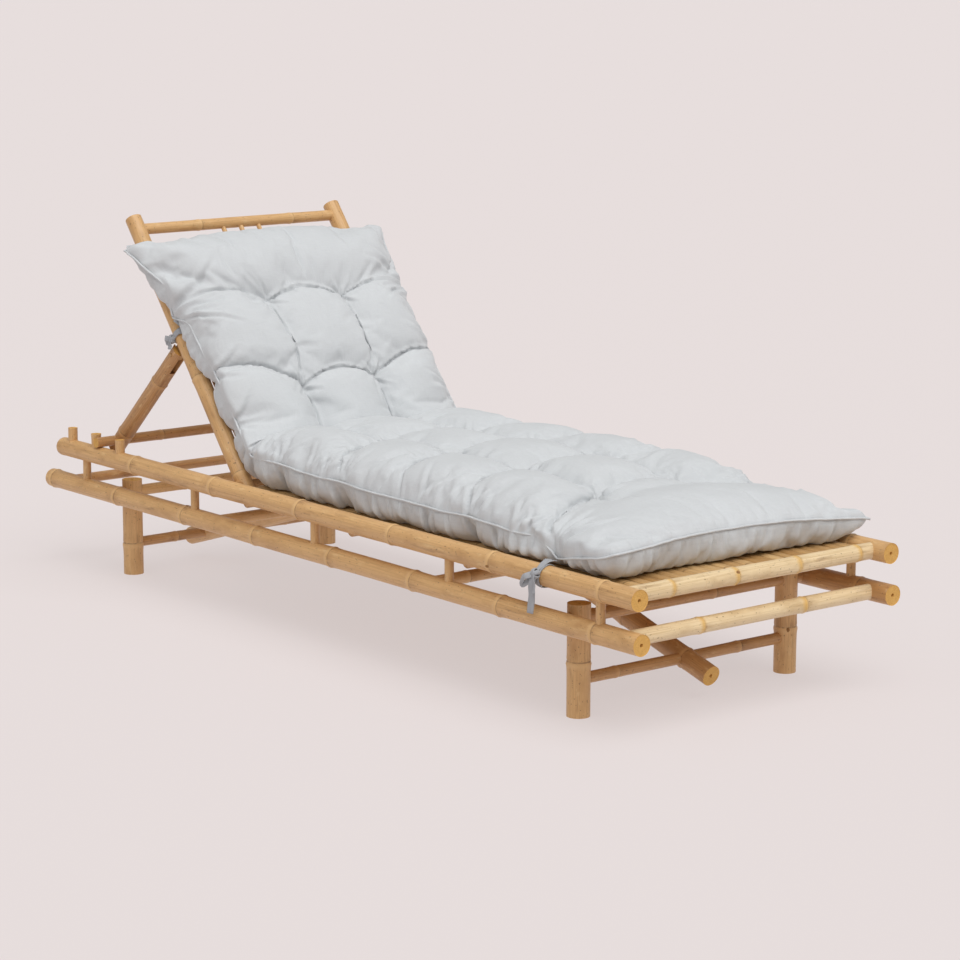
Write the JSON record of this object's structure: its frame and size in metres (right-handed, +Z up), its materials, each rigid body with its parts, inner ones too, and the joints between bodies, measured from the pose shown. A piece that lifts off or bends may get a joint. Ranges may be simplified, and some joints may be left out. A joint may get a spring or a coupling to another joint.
{
  "type": "bamboo sun lounger",
  "caption": "Low bamboo sun lounger with slatted deck, side galleries, a reclining backrest held by a folding prop behind pegs, and a tufted pad tied to the frame.",
  "frame": {"origin": "on the floor, below the middle of the bounding box", "axes": "+X to the foot end, +Y to the sitter's left, +Z up"},
  "size_m": [2, 0.6926, 0.8012],
  "materials": {
    "bamboo": "satin, honey tan",
    "pale_bamboo": "satin, straw",
    "split_bamboo": "satin",
    "pad_fabric": "woven, matt",
    "tie_fabric": "woven tape, matt"
  },
  "bodies": {
    "frame": {"backrest_axle": "bamboo", "brace_pins": "bamboo", "deck_bar_1": "bamboo", "deck_bar_2": "bamboo", "deck_bar_3": "bamboo", "deck_bar_4": "bamboo", "foot_brace": "bamboo", "foot_brace_bar": "bamboo", "foot_lower_cross_rail": "pale_bamboo", "foot_lower_stretcher": "bamboo", "foot_upper_cross_rail": "pale_bamboo", "foot_upper_stretcher": "bamboo", "head_brace": "bamboo", "head_brace_bar": "bamboo", "head_lower_cross_rail": "bamboo", "head_lower_stretcher": "bamboo", "head_upper_stretcher": "bamboo", "left_foot_leg": "bamboo", "left_foot_tie": "tie_fabric", "left_head_leg": "bamboo", "left_lower_rail": "bamboo", "left_pegs": "bamboo", "left_spindle_1": "bamboo", "left_spindle_2": "bamboo", "left_spindle_3": "bamboo", "left_spindle_4": "bamboo", "left_spindle_5": "bamboo", "left_upper_rail": "bamboo", "right_foot_leg": "bamboo", "right_foot_tie": "tie_fabric", "right_head_leg": "bamboo", "right_lower_rail": "bamboo", "right_pegs": "bamboo", "right_spindle_1": "bamboo", "right_spindle_2": "bamboo", "right_spindle_3": "bamboo", "right_spindle_4": "bamboo", "right_spindle_5": "bamboo", "right_upper_rail": "bamboo", "seat_pad": "pad_fabric", "seat_slats": "split_bamboo"},
    "backrest": {"back_pad": "pad_fabric", "back_second_rail": "bamboo", "back_slat_rail_1": "bamboo", "back_slat_rail_2": "bamboo", "back_slat_rail_3": "bamboo", "back_slats": "split_bamboo", "back_spindles": "bamboo", "back_top_rail": "bamboo", "left_head_tie": "tie_fabric", "left_prop_tongue": "bamboo", "left_stile": "bamboo", "right_head_tie": "tie_fabric", "right_prop_tongue": "bamboo", "right_stile": "bamboo"},
    "prop": {"left_prop_pin": "bamboo", "left_prop_strut": "bamboo", "prop_bar": "bamboo", "right_prop_pin": "bamboo", "right_prop_strut": "bamboo"}
  },
  "joints": [
    {"name": "backrest_recline", "type": "hinge", "parent": "frame", "child": "backrest", "pos_m": [-0.301, 0, 0.264], "axis": [0, 1, 0], "range_deg": [0, 30]},
    {"name": "prop_swing", "type": "hinge", "parent": "backrest", "child": "prop", "pos_m": [-0.55343, 0, 0.51289], "axis": [0, 1, 0], "range_deg": [-30, 0]}
  ],
  "couplings": [
    {"joint": "prop_swing", "follows": "backrest_recline", "ratio": -1}
  ]
}
